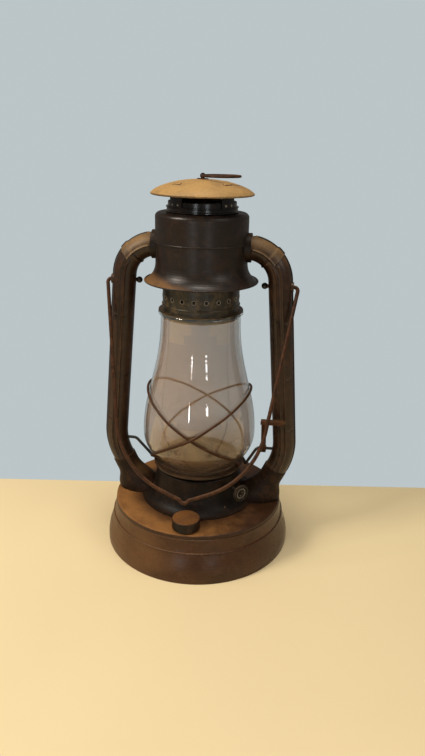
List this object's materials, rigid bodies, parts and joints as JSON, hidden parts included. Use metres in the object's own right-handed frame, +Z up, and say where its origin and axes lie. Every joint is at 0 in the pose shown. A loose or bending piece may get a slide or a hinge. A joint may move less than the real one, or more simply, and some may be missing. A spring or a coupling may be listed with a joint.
{
  "type": "hurricane lantern",
  "caption": "Tubular oil lantern with a flared fount, side air tubes, glass globe in wire guards, lever globe lift, sprung chimney cap and swinging wire bail.",
  "frame": {"origin": "centre of the circle that the foot stands on, on the floor plane", "axes": "+Z up, -Y to the front with the filler cap, +X to the side tube that carries the lift lever"},
  "size_m": [0.2006, 0.1932, 0.3739],
  "materials": {
    "dark_tin": "aged dark japanned sheet metal, satin",
    "brown_tin": "brown aged sheet metal, satin",
    "dusty_tin": "dark sheet metal under tan dust",
    "patina_tin": "mottled green-brown patina",
    "rusty_wire": "rusty brown wire",
    "black_steel": "black, half gloss",
    "brass": "tarnished brass",
    "clear_glass": "clear glass",
    "cotton": "woven cotton wick",
    "gasket_rubber": "rubber",
    "spring_steel": "bare spring wire"
  },
  "bodies": {
    "frame": {"fount_skirt": "brown_tin", "fount_floor": "brown_tin", "fount_deck": "brown_tin", "filler_neck": "brown_tin", "burner_collar": "brass", "air_bell": "dark_tin", "left_tube_foot": "dark_tin", "right_tube_foot": "dark_tin", "left_side_tube": "dark_tin", "right_side_tube": "dark_tin", "left_top_elbow": "dusty_tin", "right_top_elbow": "dusty_tin", "hood": "dark_tin", "left_ferrule": "black_steel", "right_ferrule": "black_steel", "left_bail_boss": "dark_tin", "right_bail_boss": "dark_tin", "burner_body": "brass", "draft_plate": "brass", "burner_cone": "brass", "wick_tube": "brass", "chimney_spring": "spring_steel"},
    "bail": {"bail": "rusty_wire"},
    "globe_carriage": {"globe_plate": "patina_tin", "globe": "clear_glass", "left_guard": "rusty_wire", "right_guard": "rusty_wire"},
    "lift": {"lift_crank": "black_steel", "lift_lever": "rusty_wire"},
    "chimney": {"perforated_collar": "patina_tin", "chimney_tube": "dark_tin", "neck_ring": "black_steel", "cap_straps": "dark_tin", "chimney_cap": "dusty_tin", "ring_eye": "rusty_wire"},
    "lift_ring": {"lift_ring": "rusty_wire"},
    "wick_drive": {"wick_shaft": "brass", "star_wheels": "brass", "thumb_wheel": "brass"},
    "wick": {"wick": "cotton"},
    "filler_gasket": {"filler_gasket": "gasket_rubber"},
    "filler_cap": {"filler_cap": "dark_tin"}
  },
  "joints": [
    {"name": "bail_swing", "type": "hinge", "parent": "frame", "child": "bail", "pos_m": [0, 0, 0.274], "axis": [-1, 0, 0], "range_deg": [0, 312]},
    {"name": "globe_lift", "type": "slide", "parent": "frame", "child": "globe_carriage", "axis": [0, 0, 1], "range_m": [0, 0.02014], "deforming": ["chimney_spring"]},
    {"name": "lever_turn", "type": "hinge", "parent": "frame", "child": "lift", "pos_m": [0, 0, 0.1045], "axis": [1, 0, 0], "range_deg": [0, 25.6]},
    {"name": "chimney_lift", "type": "slide", "parent": "globe_carriage", "child": "chimney", "axis": [0, 0, 1], "range_m": [0, 0.018], "stiffness_N_per_m": 80, "springref_m": -0.03, "deforming": ["chimney_spring"]},
    {"name": "ring_swing", "type": "hinge", "parent": "chimney", "child": "lift_ring", "pos_m": [0, 0, 0.3714], "axis": [0.1392, -0.9903, 0], "range_deg": [-10, 190]},
    {"name": "wick_turn", "type": "hinge", "parent": "frame", "child": "wick_drive", "pos_m": [0.00396, 0.00396, 0.073], "axis": [-0.7071, 0.7071, 0], "range_deg": [-75, 90]},
    {"name": "wick_raise", "type": "slide", "parent": "frame", "child": "wick", "axis": [0, 0, 1], "range_m": [-0.0052, 0.0062]},
    {"name": "filler_cap_rise", "type": "slide", "parent": "frame", "child": "filler_gasket", "axis": [0, 0, 1], "range_m": [0, 0.0075]},
    {"name": "filler_cap_turn", "type": "hinge", "parent": "filler_gasket", "child": "filler_cap", "pos_m": [0, -0.0725, 0.055], "axis": [0, 0, 1], "range_deg": [0, 1080.2]}
  ],
  "couplings": [
    {"joint": "lever_turn", "follows": "globe_lift", "rad_per_m": 22.184},
    {"joint": "wick_turn", "follows": "wick_raise", "rad_per_m": 250},
    {"joint": "filler_cap_turn", "follows": "filler_cap_rise", "rad_per_m": 2513.3}
  ]
}
